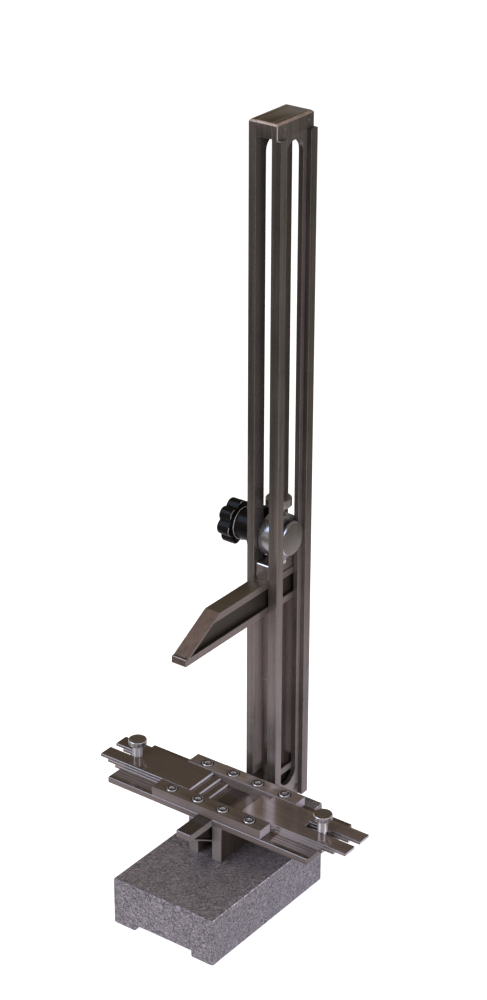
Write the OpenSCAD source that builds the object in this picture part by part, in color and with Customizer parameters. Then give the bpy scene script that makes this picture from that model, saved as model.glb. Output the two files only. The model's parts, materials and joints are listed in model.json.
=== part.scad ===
// Bore gauge setting fixture: a slotted column that holds a pair of flat jaws
// apart on slip gauges, and a slotted bed of forked steady plates round the lower jaw.
// Millimetres, +Z up. X runs along the bed, Y runs from the front of the casting
// to the column, and the jaws lie on the plane X = 0 of the design.

/* [Jaws] */
// Width of the jaws, and of the gap between the column sides
jaw_w = 16; // [12:0.5:20]
// Height of each jaw
jaw_h = 32.5; // [28:0.5:38]
// Thickness of the flanges of each jaw
jaw_flange = 7; // [5:0.5:9]
// Thickness of the web between the flanges
jaw_web = 8; // [5:0.5:10]
// Reach of the lower jaw in front of the column
lower_reach = 116; // [105:1:125]
// Reach of the upper jaw in front of the column
upper_reach = 120; // [105:1:125]
// Length of the flat land on the tip of a jaw
nose_land = 3.5; // [2:0.5:8]
// Length over which the nose tapers
nose_taper = 45; // [30:1:55]
// Lip left in front of the web pocket
nose_lip = 1.5; // [1:0.25:3]
// Side clearance of the sliding jaw between the column sides
jaw_clear = 0.1; // [0.05:0.05:0.3]

/* [Slip gauges] */
// Height of the lower slip gauge
gauge_a_h = 100; // [50:5:120]
// Height of the upper slip gauge
gauge_b_h = 75; // [50:5:100]
// Width of a slip gauge, along Y
gauge_w = 35; // [30:0.5:35]
// Thickness of a slip gauge, along X
gauge_t = 9; // [8:0.5:10]
// Distance of the slip gauges behind the middle of the column
gauge_back = 0.75; // [0:0.25:1]

/* [Casting] */
// Width of the casting along X
base_w = 112; // [105:1:125]
// Distance from the jaw plane to the left face of the casting
base_left = 45; // [40:1:52]
// Distance from the column front to the front face of the casting
base_front = 162; // [150:1:180]
// How far the casting runs in behind the column front
base_lap = 7; // [4:0.5:12]
// Height of the low front part of the casting
base_h = 48; // [40:0.5:52]
// Height of the raised rear part above the low part
riser_h = 36; // [34:0.5:42]
// Depth of the raised rear part along Y
riser_d = 31; // [26:0.5:36]
// Width of each foot strip under the casting
foot_w = 24; // [18:1:28]
// Height of the channel between the foot strips
foot_h = 7; // [4:0.5:10]
// Radius on the edges of the casting
cast_r = 2.5; // [1:0.25:4]

/* [Bed] */
// Thickness of the cheeks that stand beside the lower jaw
cheek_t = 10.5; // [9:0.25:13]
// Length of the bed plates beyond the thumb screws
bed_end = 7.7; // [6:0.1:10]
// Width of the bed along Y
bed_w = 70; // [66:0.5:74]
// Gap between the back edge of the bed and the column front
bed_gap = 14; // [10:0.5:17]
// Thickness of the bed plates
bed_t = 6; // [5:0.25:8]
// Half the length of the strips
strip_half = 61.3; // [56:0.5:66]
// Width of each strip
strip_w = 16; // [14:0.5:17]
// Height of the strips
strip_h = 9.5; // [9.4:0.1:11]
// Distance of the inner strip screws from the jaw plane
screw_x1 = 14; // [12.5:0.25:15.5]
// Distance of the outer strip screws from the jaw plane
screw_x2 = 44; // [36:1:52]

/* [Steady plates] */
// Thickness of a steady plate
slide_t = 3.1; // [2:0.05:3.1]
// Length of a steady plate
slide_l = 104; // [96:1:112]
// Length of the fork slot of the right plates, from the outer end
fork_l = 55; // [48:1:60]
// Length of the fork slot of the left plates, from the outer end
left_fork_l = 34; // [34:1:50]
// Width of the fork slot
fork_w = 7.7; // [7.3:0.1:9]
// Side clearance of a steady plate between the strips
slide_clear = 0.1; // [0.05:0.05:0.5]
// Inner end of the lowest left plate from the jaw plane
left_in = 14; // [10:0.5:16]
// Step between the left plates
left_step = 8.5; // [6:0.5:10]
// Inner end of the lowest right plate from the jaw plane
right_in = 13.5; // [10:0.5:16]
// Step between the right plates
right_step = 12.5; // [8:0.5:13]

/* [Thumb screws] */
// Distance of the thumb screws from the outer end of the lowest left plate
thumb_in = 12.7; // [10:0.1:16]
// Diameter of the thumb screw heads
thumb_d = 17.5; // [14:0.5:20]
// Height of the thumb screw heads
thumb_head_h = 7.5; // [5:0.5:9]
// Diameter of the collar under the head
collar_d = 9.6; // [9.2:0.1:11]
// Height of the collar
collar_h = 10; // [7:0.5:13]
// Diameter of the threaded shank
shank_d = 7; // [5:0.1:7.1]

/* [Column] */
// Thickness of the left column side
left_side_t = 7.6; // [5:0.1:8]
// Thickness of the right column side, without its ribs
side_t = 5.6; // [5:0.1:7]
// Depth of the column along Y
side_d = 52.5; // [50:0.5:56]
// Height of the lower end of the column above the table
column_low = 55; // [52:0.5:57]
// Height of the top of the column above the table
column_top = 721; // [700:1:740]
// Width of the long slot of the right side
slot_w = 24.4; // [22.5:0.1:26.5]
// Width of the long slot of the left side
left_slot_w = 22.6; // [21:0.1:25]
// Height of the lower end of both slots
slot_low = 74; // [70:0.5:78]
// Height of the upper end of both slots
slot_top = 701.5; // [690:0.5:702]
// Height of the block between the sides at the top
cap_h = 13.5; // [10:0.5:16]
// Thickness of the guide ribs outside the right side
rib_t = 4.1; // [3:0.1:6]
// Width of the guide ribs
rib_w = 9.2; // [8:0.1:9.4]
// Height of the top of the guide ribs
rib_top = 707; // [703:0.5:708]
// Depth of the relief between the ribs
relief = 0.5; // [0.2:0.1:1]
// Chamfer on the top edges of the column
cap_chamfer = 1.6; // [0.8:0.1:2.5]

/* [Clamp] */
// Height of the clamp axis above the upper jaw's top
clamp_rise = 34.5; // [33:0.5:37]
// Diameter of the carriage barrel
barrel_d = 42; // [38:0.5:44]
// Diameter of the clamp disc between the ribs
disc_d = 33.4; // [31:0.1:33.6]
// Thickness of the clamp disc
disc_t = 2.9; // [2.5:0.1:6]
// Chamfer on the face of the clamp disc
disc_chamfer = 1.4; // [0.5:0.1:2]
// Diameter of the neck of the disc in the slot
neck_d = 20; // [16:0.5:24]
// Diameter of the black clamp washer
washer_d = 45; // [40:0.5:48]
// Thickness of the clamp washer
washer_t = 4; // [3:0.25:6]
// Width of the tongue of the clamp washer below the slot
tongue_w = 26; // [24:1:30]
// Reach of the tongue below the clamp axis
tongue_low = 30; // [26:0.5:32]
// Diameter of the clamp stud
stud_d = 10; // [7:0.5:10]
// Radius of the star knob over its lobes
knob_r = 21; // [17:0.5:23]
// Number of lobes on the star knob
knob_lobes = 7; // [5:1:8]
// Turn of the star knob in degrees
knob_phase = 5; // [0:1:50]
// Thickness of the lobed head of the knob
knob_t = 14; // [12:0.5:18]
// Length of the hub of the knob
hub_l = 21; // [18:0.5:26]
// Radius of the hub of the knob
hub_r = 14.5; // [12:0.5:15]

/* [Pressing screw] */
// Diameter of the head of the pressing screw
press_d = 24; // [20:0.5:24.4]
// Height of the head of the pressing screw
press_h = 8.4; // [5:0.1:10]
// Gap between the barrel and the head of the pressing screw
press_rise = 8.3; // [7:0.1:14]
// Diameter of the neck under the head
press_neck = 10; // [8:0.5:12]
// Diameter of the screw in the barrel
press_shank = 6; // [5:0.1:6]
// Running clearance of turned parts on the radius
run_clear = 0.05; // [0.02:0.01:0.1]
// Travel of the pressing screw
feed = 1; // [1:0.25:2.5]

/* [Saddle] */
// Height of the saddle block at its ends
saddle_h = 14; // [13:0.5:16]
// Width of the saddle block along X
saddle_w = 13.8; // [11:0.1:15]
// Setback of the saddle block from the column front
saddle_in = 2; // [1:0.25:4]

/* [Fasteners] */
// Head diameter of the cap screws
cap_d = 9.8; // [9:0.1:10.2]
// Counterbore diameter of the cap screws
bore_d = 11.4; // [10.6:0.1:11.5]
// Counterbore depth of the cap screws
bore_h = 5.4; // [4:0.1:6]
// Height of the heads above the strip top
proud = 0.6; // [0:0.1:1]
// Shank diameter of the cap screws
m6 = 6; // [5:0.1:6]
// Diameter of the dowel pins
dowel_d = 3; // [2:0.25:4]

/* [Hidden] */
$fn = 64;
eps = 0.01;
big = 400;

// Levels
bed_low = base_h + riser_h;
bed_top = bed_low + bed_t;
lower_low = bed_top - jaw_h;
upper_low = bed_top + gauge_a_h + gauge_b_h;
upper_top = upper_low + jaw_h;
clamp_z = upper_top + clamp_rise;
strip_top = bed_top + strip_h;
slide_top = bed_top + 3 * slide_t;
cap_low = column_top - cap_h;

// Places along Y, with the column front at Y = 0
bed_back = -bed_gap;
bed_front = bed_back - bed_w;
bed_mid = (bed_front + bed_back) / 2;
channel = bed_w - 2 * strip_w;
column_mid = side_d / 2;
front_screw_y = bed_front + strip_w / 2;
rear_screw_y = bed_back - strip_w / 2;

// Places along X
side_in = jaw_w / 2;
side_out = side_in + side_t;
rib_out = side_out + rib_t;
cheek_out = jaw_w / 2 + cheek_t;
barrel_half = side_in - jaw_clear;
left_out = side_in + left_side_t;
tip_left = left_in + 2 * left_step + slide_l;
tip_right = right_in + 2 * right_step + slide_l;
thumb_x = left_in + slide_l - thumb_in;
bed_half = thumb_x + bed_end;
disc_face = side_out - relief + run_clear;
washer_face = left_out + run_clear;
hub_face = washer_face + washer_t;
knob_face = hub_face + hub_l;

// Fasteners
under_head = strip_top + proud - bore_h;
cap_head_h = bore_h;
screw_hex = 5;
long_reach = 16;
cheek_screw_y = [-70, -42];
cheek_head_z = 22;
clamp_bolt_y = [-52, -34];
clamp_bolt_z = lower_low + jaw_h / 2;
foot_bolt_y = [13, side_d - 13];
foot_bolt_z = (column_low + slot_low) / 2;
stud_tip = press_shank / 2 + 0.55;
spigot_d = 8;
seat_gap = feed + 0.25;
grub_z = upper_top + 9;
grub_r = 1.4;
tip_r = press_shank / 2;
groove_r = 1.9;
groove_h = 2 * grub_r + 0.4;
dowel_y = [9, side_d - 9];

// The origin is the middle of the bottom of the whole fixture's box
shift = [-(tip_right - tip_left) / 2, (base_front - side_d) / 2, 0];

module placed() {
    translate(shift) children();
}

// Square with true round corners
module round_square(w, h, r) {
    translate([r, 0]) square([w - 2 * r, h]);
    translate([0, r]) square([w, h - 2 * r]);
    for (x = [r, w - r], y = [r, h - r]) translate([x, y]) circle(r);
}

// Extrusion of a Y-Z outline along X, centred on X = 0
module along_x(w) {
    translate([-w / 2, 0, 0]) rotate([90, 0, 90]) linear_extrude(w) children();
}

// Cylinder along X from x0 to x1
module rod_x(x0, x1, r) {
    translate([x0, 0, 0]) rotate([0, 90, 0]) cylinder(h = x1 - x0, r = r);
}

// Socket cap screw, head up, with the underside of its head at Z = 0
module cap_screw(reach, head = cap_d, high = cap_head_h) {
    difference() {
        union() {
            translate([0, 0, -reach]) cylinder(h = reach + eps, r = m6 / 2);
            rotate_extrude() polygon([[0, 0], [head / 2, 0], [head / 2, high - 0.5],
                [head / 2 - 0.5, high], [0, high]]);
        }
        translate([0, 0, high - 3]) cylinder(h = 3 + eps, r = screw_hex / 2 / cos(30), $fn = 6);
    }
}

// Side outline of a jaw with its flat face at Z = 0 and its reach in front of the column
module jaw_outline(reach) {
    polygon([[-reach, 0], [side_d, 0], [side_d, jaw_h], [-reach + nose_land + nose_taper, jaw_h],
        [-reach + nose_land, jaw_flange], [-reach, jaw_flange]]);
}

// Outline of the pocket between the flanges of a jaw
module pocket_outline(reach) {
    rise = jaw_h - jaw_flange;
    run = nose_taper;
    lip = nose_lip * sqrt(rise * rise + run * run) / rise;
    low_y = -reach + nose_land + lip;
    high_y = low_y + (jaw_h - 2 * jaw_flange) * run / rise;
    polygon([[low_y, jaw_flange], [side_d - jaw_flange, jaw_flange],
        [side_d - jaw_flange, jaw_h - jaw_flange], [high_y, jaw_h - jaw_flange]]);
}

// Jaw with its measuring face down, of the given width
module jaw(reach, width) {
    pocket = (width - jaw_web) / 2;
    difference() {
        along_x(width) jaw_outline(reach);
        for (s = [-1, 1]) translate([s * (width / 2 - pocket / 2 + eps), 0, 0])
            along_x(pocket + 2 * eps) pocket_outline(reach);
    }
}

module base_casting() {
    color([0.52, 0.50, 0.49]) placed() difference() {
        intersection() {
            translate([-base_left, -base_front, 0]) linear_extrude(bed_low)
                round_square(base_w, base_front + base_lap, cast_r);
            translate([-base_left, 0, 0]) rotate([90, 0, 90]) linear_extrude(base_w) union() {
                translate([-base_front, 0])
                    round_square(base_front + base_lap, base_h, cast_r);
                translate([base_lap - riser_d, 0]) square([riser_d, bed_low]);
            }
        }
        // Channel between the foot strips
        translate([foot_w - base_left, -base_front - eps, -eps])
            cube([base_w - 2 * foot_w, base_front + base_lap + 2 * eps, foot_h + eps]);
        // Slot for the cheeks and the lower jaw
        translate([-cheek_out, base_lap - riser_d - eps, base_h])
            cube([2 * cheek_out, riser_d + 2 * eps, riser_h + 1]);
        // Screw holes up into the cheeks
        for (s = [-1, 1], y = cheek_screw_y) translate([s * (jaw_w + cheek_t) / 2, y, 0]) {
            translate([0, 0, foot_h - 1]) cylinder(h = cheek_head_z - foot_h + 1, r = bore_d / 2);
            cylinder(h = base_h + 1, r = m6 / 2);
        }
    }
}

// Ground block beside the lower jaw
module cheek(s) {
    color([0.62, 0.60, 0.58]) placed() difference() {
        translate([s > 0 ? jaw_w / 2 : -cheek_out, bed_front, base_h])
            cube([cheek_t, -bed_front, riser_h]);
        for (y = cheek_screw_y) translate([s * (jaw_w + cheek_t) / 2, y, base_h - 1])
            cylinder(h = long_reach + 1, r = m6 / 2);
        for (y = [front_screw_y, rear_screw_y]) translate([s * screw_x1, y, bed_low - long_reach])
            cylinder(h = long_reach + 1, r = m6 / 2);
        for (y = clamp_bolt_y) translate([0, y, clamp_bolt_z]) {
            rod_x(s > 0 ? 0 : -cheek_out + 2, s > 0 ? cheek_out + 1 : 0, m6 / 2);
            if (s > 0) rod_x(cheek_out - bore_h, cheek_out + 1, bore_d / 2);
        }
    }
}

module left_cheek() { cheek(-1); }
module right_cheek() { cheek(1); }

module cheek_screws() {
    color([0.45, 0.45, 0.46]) placed() for (s = [-1, 1], y = cheek_screw_y)
        translate([s * (jaw_w + cheek_t) / 2, y, cheek_head_z]) rotate([180, 0, 0])
            cap_screw(base_h - cheek_head_z + long_reach);
}

module lower_jaw() {
    color([0.62, 0.60, 0.58]) placed() difference() {
        translate([0, 0, bed_top]) mirror([0, 0, 1]) jaw(lower_reach, jaw_w);
        for (y = clamp_bolt_y) translate([0, y, clamp_bolt_z]) rod_x(-jaw_w, jaw_w, m6 / 2);
        for (y = foot_bolt_y) translate([0, y, foot_bolt_z]) rod_x(-jaw_w, jaw_w, m6 / 2);
    }
}

module jaw_clamp_bolts() {
    color([0.45, 0.45, 0.46]) placed() for (y = clamp_bolt_y)
        translate([cheek_out - bore_h, y, clamp_bolt_z]) rotate([0, 90, 0])
            cap_screw(2 * cheek_out - bore_h - 2);
}

// Half of the bed, on one side of the lower jaw
module bed_plate(s) {
    reach = bed_half - jaw_w / 2;
    color([0.60, 0.58, 0.56]) placed() difference() {
        translate([s > 0 ? jaw_w / 2 : -bed_half, bed_front, bed_low]) cube([reach, bed_w, bed_t]);
        for (x = [screw_x1, screw_x2], y = [front_screw_y, rear_screw_y])
            translate([s * x, y, bed_low - 1]) cylinder(h = bed_t + 2, r = m6 / 2);
        translate([s * thumb_x, bed_mid, bed_low - 1])
            cylinder(h = bed_t + 2, r = shank_d / 2 + run_clear);
    }
}

module left_bed_plate() { bed_plate(-1); }
module right_bed_plate() { bed_plate(1); }

// Strip along one edge of the bed, with its four counterbored holes
module strip(y0) {
    color([0.60, 0.58, 0.56]) placed() difference() {
        translate([-strip_half, y0, bed_top]) cube([2 * strip_half, strip_w, strip_h]);
        for (s = [-1, 1], x = [screw_x1, screw_x2]) translate([s * x, y0 + strip_w / 2, 0]) {
            translate([0, 0, bed_top - 1]) cylinder(h = strip_h + 2, r = m6 / 2);
            translate([0, 0, under_head]) cylinder(h = strip_h, r = bore_d / 2);
            translate([0, 0, strip_top - 0.5])
                cylinder(h = 0.5 + eps, r1 = bore_d / 2, r2 = bore_d / 2 + 0.5);
        }
    }
}

module front_strip() { strip(bed_front); }
module rear_strip() { strip(bed_back - strip_w); }

module strip_screws_long() {
    color([0.75, 0.75, 0.76]) placed() for (s = [-1, 1], y = [front_screw_y, rear_screw_y])
        translate([s * screw_x1, y, under_head]) cap_screw(under_head - bed_low + long_reach);
}

module strip_screws_short() {
    color([0.75, 0.75, 0.76]) placed() for (s = [-1, 1], y = [front_screw_y, rear_screw_y])
        translate([s * screw_x2, y, under_head]) cap_screw(under_head - bed_low - 0.5);
}

// Outline of a long slot of width w with its round ends, in Y and Z
module slot_outline(w) {
    translate([column_mid - w / 2, slot_low + w / 2]) square([w, slot_top - slot_low - w]);
    for (z = [slot_low + w / 2, slot_top - w / 2]) translate([column_mid, z]) circle(w / 2);
}

// Cuts the chamfers along the top edges of the column
module cap_edges() {
    c = cap_chamfer;
    for (x = [-left_out, side_out]) translate([x, column_mid, column_top]) rotate([0, 45, 0])
        cube([c * sqrt(2), 2 * side_d, c * sqrt(2)], center = true);
    for (y = [0, side_d]) translate([0, y, column_top]) rotate([45, 0, 0])
        cube([4 * side_out, c * sqrt(2), c * sqrt(2)], center = true);
}

// Holes of the dowels and bolts that join the sides to the cap and the lower jaw
module side_holes(s) {
    for (y = dowel_y) translate([0, y, cap_low + cap_h / 2])
        rod_x(-2 * side_out, 2 * side_out, dowel_d / 2);
    for (y = foot_bolt_y) translate([0, y, foot_bolt_z])
        rod_x(-2 * side_out, 2 * side_out, s < 0 ? m6 / 2 + run_clear : m6 / 2);
}

module left_column_side() {
    color([0.58, 0.56, 0.54]) placed() difference() {
        translate([-left_out, 0, column_low])
            cube([left_side_t, side_d, column_top - column_low]);
        along_x(4 * side_out) slot_outline(left_slot_w);
        cap_edges();
        side_holes(-1);
    }
}

module right_column_side() {
    color([0.58, 0.56, 0.54]) placed() difference() {
        union() {
            translate([side_in, 0, column_low]) cube([side_t, side_d, column_top - column_low]);
            for (y = [0, side_d - rib_w]) translate([side_out - eps, y, column_low])
                cube([rib_t + eps, rib_w, rib_top - column_low]);
        }
        translate([side_out - relief, rib_w, column_low - 1])
            cube([rib_t, side_d - 2 * rib_w, rib_top - column_low + 1]);
        along_x(6 * side_out) slot_outline(slot_w);
        cap_edges();
        side_holes(1);
    }
}

module column_cap() {
    color([0.58, 0.56, 0.54]) placed() difference() {
        translate([-side_in, 0, cap_low]) cube([jaw_w, side_d, cap_h]);
        cap_edges();
        for (y = dowel_y) translate([0, y, cap_low + cap_h / 2])
            rod_x(-2 * side_out, 2 * side_out, dowel_d / 2);
    }
}

module cap_dowels() {
    color([0.72, 0.72, 0.73]) placed() for (y = dowel_y)
        translate([0, y, cap_low + cap_h / 2]) rod_x(-left_out, side_out, dowel_d / 2);
}

module column_foot_bolts() {
    color([0.45, 0.45, 0.46]) placed() for (y = foot_bolt_y)
        translate([-left_out, y, foot_bolt_z]) rotate([0, -90, 0])
            cap_screw(left_out + side_out - relief);
}

// Slip gauge standing on the plane z0
module slip_gauge(z0, h) {
    front = column_mid + gauge_back - gauge_w / 2;
    color([0.66, 0.66, 0.70]) placed() translate([-gauge_t / 2, front, z0])
        cube([gauge_t, gauge_w, h]);
}

module slip_gauge_lower() { slip_gauge(bed_top, gauge_a_h); }
module slip_gauge_upper() { slip_gauge(bed_top + gauge_a_h, gauge_b_h); }

// Forked steady plate on side s, in layer k, with its inner end at distance near
module slide(s, k, near) {
    wide = channel - 2 * slide_clear;
    fork = s > 0 ? fork_l : left_fork_l;
    color([0.57, 0.55, 0.53]) placed() difference() {
        translate([s > 0 ? near : -near - slide_l, bed_mid - wide / 2, bed_top + k * slide_t])
            cube([slide_l, wide, slide_t]);
        translate([s > 0 ? near + slide_l - fork : -near - slide_l - 1, bed_mid - fork_w / 2,
            bed_top + k * slide_t - 1]) cube([fork + 1, fork_w, slide_t + 2]);
    }
}

module left_slide_bottom() { slide(-1, 0, left_in); }
module left_slide_middle() { slide(-1, 1, left_in + left_step); }
module left_slide_top() { slide(-1, 2, left_in + 2 * left_step); }
module right_slide_bottom() { slide(1, 0, right_in); }
module right_slide_middle() { slide(1, 1, right_in + right_step); }
module right_slide_top() { slide(1, 2, right_in + 2 * right_step); }

// Thumb screw that clamps the three plates of one side
module thumb_screw(s) {
    r = thumb_d / 2;
    c = collar_d / 2;
    head_z = slide_top + collar_h;
    color([0.72, 0.71, 0.73]) placed() translate([s * thumb_x, bed_mid, 0]) {
        translate([0, 0, bed_low + 0.3])
            cylinder(h = slide_top - bed_low, r = shank_d / 2);
        rotate_extrude() polygon([[0, slide_top], [c, slide_top], [c, head_z], [r - 3, head_z],
            [r, head_z + 2.6], [r, head_z + thumb_head_h - 0.6], [r - 0.6, head_z + thumb_head_h],
            [0, head_z + thumb_head_h]]);
    }
}

module left_thumb_screw() { thumb_screw(-1); }
module right_thumb_screw() { thumb_screw(1); }

module upper_jaw() {
    color([0.62, 0.60, 0.58]) placed() difference() {
        translate([0, 0, upper_low]) jaw(upper_reach, jaw_w - 2 * jaw_clear);
        for (y = dowel_y) translate([0, y, upper_top - 6]) cylinder(h = 7, r = dowel_d / 2);
    }
}

module saddle_block() {
    color([0.62, 0.60, 0.58]) placed() difference() {
        translate([-saddle_w / 2, saddle_in, upper_top])
            cube([saddle_w, side_d - 2 * saddle_in, saddle_h]);
        translate([0, column_mid, clamp_z]) rod_x(-saddle_w, saddle_w, barrel_d / 2 + seat_gap);
        translate([0, column_mid, upper_top - 1]) cylinder(h = saddle_h + 2, r = tip_r + run_clear);
        translate([0, column_mid, grub_z]) rod_x(0, saddle_w, grub_r);
        for (y = dowel_y) translate([0, y, upper_top - 1]) cylinder(h = 7, r = dowel_d / 2);
    }
}

module saddle_dowels() {
    color([0.72, 0.72, 0.73]) placed() for (y = dowel_y)
        translate([0, y, upper_top - 6]) cylinder(h = 12, r = dowel_d / 2);
}

module saddle_grub_screw() {
    color([0.80, 0.80, 0.82]) placed() difference() {
        translate([0, column_mid, grub_z]) rod_x(groove_r + run_clear, saddle_w / 2, grub_r);
        translate([saddle_w / 2 - 1.2, column_mid, grub_z]) rotate([0, 90, 0])
            cylinder(h = 2, r = 0.75 / cos(30), $fn = 6);
    }
}

module carriage_barrel() {
    color([0.66, 0.65, 0.67]) placed() translate([0, column_mid, clamp_z]) difference() {
        rotate([0, 90, 0]) rotate_extrude() polygon([[0, -barrel_half], [barrel_d / 2 - 0.6, -barrel_half],
            [barrel_d / 2, -barrel_half + 0.6], [barrel_d / 2, barrel_half - 0.6],
            [barrel_d / 2 - 0.6, barrel_half], [0, barrel_half]]);
        translate([0, 0, -barrel_d]) cylinder(h = 2 * barrel_d, r = press_shank / 2 + run_clear);
        rod_x(-barrel_half - 1, -stud_tip + 0.1, stud_d / 2 + run_clear);
        rod_x(stud_tip - 0.1, barrel_half + 1, spigot_d / 2);
    }
}

module clamp_disc() {
    r = disc_d / 2;
    color([0.66, 0.66, 0.68]) placed() translate([0, column_mid, clamp_z]) rotate([0, 90, 0])
        rotate_extrude() polygon([[0, stud_tip], [spigot_d / 2, stud_tip],
            [spigot_d / 2, barrel_half], [neck_d / 2, barrel_half], [neck_d / 2, disc_face],
            [r, disc_face], [r, disc_face + disc_t - disc_chamfer],
            [r - disc_chamfer, disc_face + disc_t],
            [0, disc_face + disc_t]]);
}

module clamp_washer() {
    r = washer_d / 2;
    color([0.12, 0.12, 0.13]) placed() translate([0, column_mid, clamp_z]) difference() {
        union() {
            rotate([0, -90, 0]) rotate_extrude() polygon([[0, washer_face], [r, washer_face],
                [r, hub_face - 0.8], [r - 0.8, hub_face], [0, hub_face]]);
            translate([-hub_face, -tongue_w / 2, -tongue_low])
                cube([washer_t, tongue_w, tongue_low]);
        }
        rod_x(-hub_face - 1, -washer_face + 1, stud_d / 2 + run_clear);
    }
}

module clamp_stud() {
    color([0.60, 0.60, 0.61]) placed() translate([0, column_mid, clamp_z])
        rod_x(-knob_face - knob_t + 3, -stud_tip, stud_d / 2);
}

// Outline of the lobed head of the knob
module star_outline() {
    lobe = 2 * PI * knob_r / knob_lobes * 0.24;
    difference() {
        union() {
            circle(knob_r - lobe);
            for (i = [0 : knob_lobes - 1]) rotate(i * 360 / knob_lobes)
                translate([knob_r - lobe, 0]) circle(lobe, $fn = 32);
        }
        for (i = [0 : knob_lobes - 1]) rotate((i + 0.5) * 360 / knob_lobes)
            translate([knob_r + 0.6, 0]) circle(lobe * 0.95, $fn = 32);
    }
}

module star_knob() {
    color([0.06, 0.06, 0.07]) placed() translate([0, column_mid, clamp_z]) rotate([0, -90, 0])
        difference() {
            union() {
                translate([0, 0, knob_face]) rotate(knob_phase) linear_extrude(knob_t)
                    star_outline();
                rotate_extrude() polygon([[0, hub_face], [hub_r, hub_face],
                    [hub_r, knob_face + eps], [0, knob_face + eps]]);
            }
            cylinder(h = knob_face + knob_t + 1, r = stud_d / 2);
        }
}

module pressing_screw() {
    head_z = clamp_z + barrel_d / 2 + press_rise;
    r = press_d / 2;
    foot_z = upper_top + 0.3;
    low = grub_z - groove_h / 2;
    high = grub_z + groove_h / 2;
    color([0.70, 0.69, 0.71]) placed() translate([0, column_mid, 0])
        rotate_extrude() polygon([[0, foot_z], [tip_r, foot_z], [tip_r, low], [groove_r, low],
            [groove_r, high], [tip_r, high], [tip_r, clamp_z + barrel_d / 2 + feed + 0.5],
            [press_neck / 2, clamp_z + barrel_d / 2 + feed + 0.5], [press_neck / 2, head_z],
            [r - 1, head_z], [r, head_z + 1], [r, head_z + press_h - 1],
            [r - 1, head_z + press_h], [0, head_z + press_h]]);
}

base_casting();
left_cheek();
right_cheek();
cheek_screws();
lower_jaw();
jaw_clamp_bolts();
left_bed_plate();
right_bed_plate();
front_strip();
rear_strip();
strip_screws_long();
strip_screws_short();
left_column_side();
right_column_side();
column_cap();
cap_dowels();
column_foot_bolts();
slip_gauge_lower();
slip_gauge_upper();
left_slide_bottom();
left_slide_middle();
left_slide_top();
right_slide_bottom();
right_slide_middle();
right_slide_top();
left_thumb_screw();
right_thumb_screw();
upper_jaw();
saddle_block();
saddle_dowels();
saddle_grub_screw();
carriage_barrel();
clamp_disc();
clamp_washer();
clamp_stud();
star_knob();
pressing_screw();
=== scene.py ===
"""Looks of a bore gauge setting fixture: ground steel, hammertone paint, turned steel and a black knob.

Laid out as an add-on with one operator for each group of pieces, and run as a script.
"""

import json
import math
from collections import namedtuple

import bmesh
import bpy
from bpy.props import FloatProperty, FloatVectorProperty, IntProperty, PointerProperty
from mathutils import Matrix, Vector

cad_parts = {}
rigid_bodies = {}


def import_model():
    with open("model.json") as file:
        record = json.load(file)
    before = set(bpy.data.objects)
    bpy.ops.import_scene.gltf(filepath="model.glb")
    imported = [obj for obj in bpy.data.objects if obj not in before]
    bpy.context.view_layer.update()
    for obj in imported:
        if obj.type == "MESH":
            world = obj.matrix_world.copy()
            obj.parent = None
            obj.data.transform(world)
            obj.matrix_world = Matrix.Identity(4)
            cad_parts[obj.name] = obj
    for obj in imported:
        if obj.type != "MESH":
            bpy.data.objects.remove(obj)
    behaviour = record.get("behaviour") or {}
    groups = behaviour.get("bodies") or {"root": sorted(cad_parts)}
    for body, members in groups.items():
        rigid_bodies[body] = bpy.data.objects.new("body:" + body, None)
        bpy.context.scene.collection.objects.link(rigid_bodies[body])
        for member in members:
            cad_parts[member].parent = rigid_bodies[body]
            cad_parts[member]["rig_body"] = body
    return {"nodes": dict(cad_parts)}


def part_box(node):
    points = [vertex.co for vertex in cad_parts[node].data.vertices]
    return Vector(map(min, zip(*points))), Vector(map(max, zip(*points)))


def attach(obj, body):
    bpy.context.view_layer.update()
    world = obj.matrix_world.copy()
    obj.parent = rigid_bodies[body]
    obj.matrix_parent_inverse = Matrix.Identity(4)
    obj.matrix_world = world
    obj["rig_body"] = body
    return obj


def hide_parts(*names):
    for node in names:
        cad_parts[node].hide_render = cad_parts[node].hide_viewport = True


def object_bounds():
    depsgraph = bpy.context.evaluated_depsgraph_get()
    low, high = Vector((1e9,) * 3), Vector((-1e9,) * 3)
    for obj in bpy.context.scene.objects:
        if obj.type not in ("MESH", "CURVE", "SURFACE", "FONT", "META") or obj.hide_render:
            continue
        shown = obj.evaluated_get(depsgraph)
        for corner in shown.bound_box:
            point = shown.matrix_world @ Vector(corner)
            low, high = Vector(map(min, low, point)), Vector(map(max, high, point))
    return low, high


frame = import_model()
CAD_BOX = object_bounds()

bl_info = {
    "name": "Bore gauge setting fixture",
    "version": (1, 0, 0),
    "blender": (4, 5, 0),
    "location": "View3D > Sidebar > Fixture",
    "description": "Dresses the packed solids of a bore gauge setting fixture and sets its studio",
    "category": "Object",
}

MM = 0.001
SHARP_ANGLE = math.radians(30)
FLAT_ANGLE = math.radians(0.5)
WELD_DISTANCE = 2e-6
SQUARE_ON = 0.9  # least part of a face's normal along the way that it faces
UPRIGHT = 0.3  # greatest upward part of the normal of a wall


def colour_prop(name, description, default):
    """A colour that a user may change in the sidebar."""
    return FloatVectorProperty(
        name=name, description=description, subtype="COLOR", size=3, min=0.0, max=1.0, default=default
    )


def length_prop(name, description, default_mm):
    """A length that a user may change in the sidebar, given in millimetres."""
    return FloatProperty(
        name=name, description=description, default=default_mm * MM, unit="LENGTH", precision=5
    )


def angle_prop(name, description, degrees):
    """An angle that a user may change in the sidebar, given in degrees."""
    return FloatProperty(name=name, description=description, default=math.radians(degrees), subtype="ANGLE")


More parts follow.
